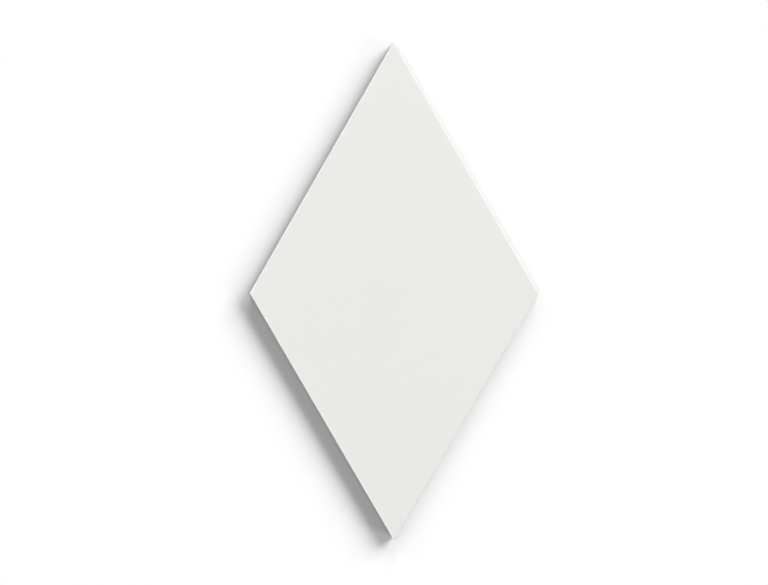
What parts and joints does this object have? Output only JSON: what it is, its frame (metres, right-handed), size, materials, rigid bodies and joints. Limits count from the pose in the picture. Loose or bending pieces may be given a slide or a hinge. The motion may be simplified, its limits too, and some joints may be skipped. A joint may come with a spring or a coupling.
{
  "type": "wall tile",
  "caption": "Diamond-shaped ceramic wall tile: a flat glazed rhombus with a softly rounded face edge, and a back keyed with shallow pockets to bed in adhesive.",
  "frame": {"origin": "middle of the back, on the plane that the tile lies on", "axes": "+X along the short diagonal, +Y along the long diagonal, +Z out of the glazed face"},
  "size_m": [0.1518, 0.2616, 0.0085],
  "materials": {
    "glaze": "gloss"
  },
  "bodies": {
    "root": {"tile": "glaze"}
  },
  "joints": []
}
